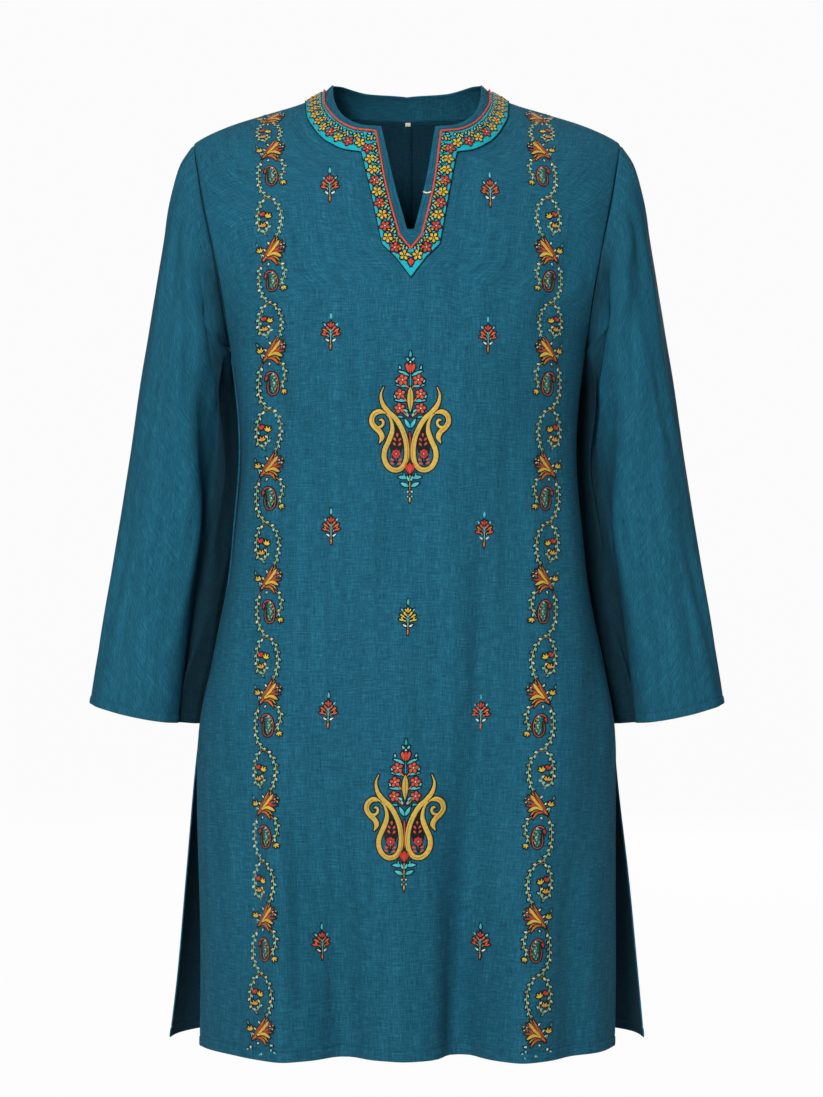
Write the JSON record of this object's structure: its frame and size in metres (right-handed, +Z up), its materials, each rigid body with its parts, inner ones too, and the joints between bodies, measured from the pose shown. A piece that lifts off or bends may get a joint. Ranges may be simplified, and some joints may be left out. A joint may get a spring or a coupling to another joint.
{
  "type": "kurta tunic",
  "caption": "Long straight tunic with set-in sleeves, side slits and a slit neckline edged with an embroidered border, in the filled-out shape it has when worn.",
  "frame": {"origin": "midway between the two points where the shoulder seams meet the neck border, level with the seams there", "axes": "+Z up the wearer, -Y out of the garment's front, +X towards the wearer's left sleeve"},
  "size_m": [0.6208, 0.2562, 0.9233],
  "materials": {
    "cloth": "matt slub weave",
    "border": "embroidered trim",
    "piping": "satin cord",
    "label": "plain tape"
  },
  "bodies": {
    "root": {"front": "cloth", "back_left": "cloth", "back_right": "cloth", "sleeve_left": "cloth", "sleeve_right": "cloth", "neck_band": "cloth", "neck_border": "border", "neck_piping": "piping", "neck_label": "label"}
  },
  "joints": []
}
